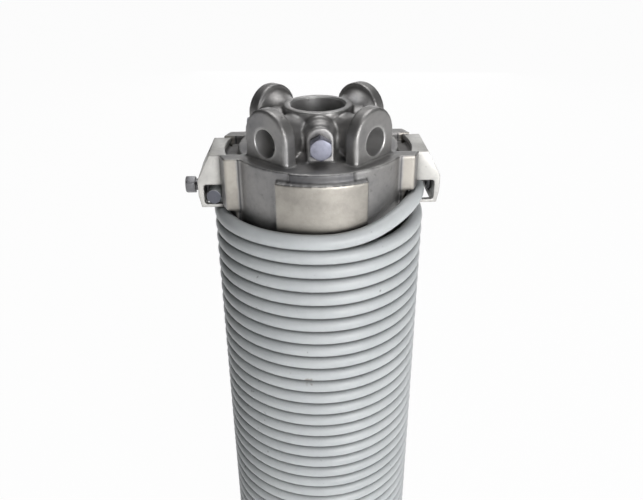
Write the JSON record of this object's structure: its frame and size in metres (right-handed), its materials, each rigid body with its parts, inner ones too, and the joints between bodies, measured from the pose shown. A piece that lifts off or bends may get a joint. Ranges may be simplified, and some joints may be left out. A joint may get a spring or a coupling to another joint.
{
  "type": "garage door torsion spring",
  "caption": "Close-wound torsion spring with a winding plug, a flanged stationary plug and sheet clamps that hold the wire's ends.",
  "frame": {"origin": "centre of the stationary plug's mounting face, on the shaft axis", "axes": "+Z along the shaft axis toward the winding plug; -Y is the side seen first, and +-X are the clamp sides"},
  "size_m": [0.138, 0.155, 0.354],
  "materials": {
    "coil_wire": "satin light grey coated spring wire with small dark specks",
    "plug_casting": "as-cast mid grey aluminium",
    "clamp_steel": "pale plated pressed sheet",
    "nut_steel": "plain weld nut",
    "clamp_bolt_steel": "dark zinc-plated bolt",
    "set_bolt_zinc": "bright zinc-plated bolt"
  },
  "bodies": {
    "root": {"spring_coil": "coil_wire", "winding_plug": "plug_casting", "winding_clamp_left": "clamp_steel", "winding_clamp_right": "clamp_steel", "winding_clamp_nut_left": "nut_steel", "winding_clamp_nut_right": "nut_steel", "winding_clamp_bolt": "clamp_bolt_steel", "set_bolt_front": "set_bolt_zinc", "set_bolt_right": "set_bolt_zinc", "set_bolt_back": "set_bolt_zinc", "set_bolt_left": "set_bolt_zinc", "stationary_plug": "plug_casting", "stationary_clamp_left": "clamp_steel", "stationary_clamp_right": "clamp_steel", "stationary_clamp_nut_left": "nut_steel", "stationary_clamp_nut_right": "nut_steel", "stationary_clamp_bolt": "clamp_bolt_steel"}
  },
  "joints": []
}
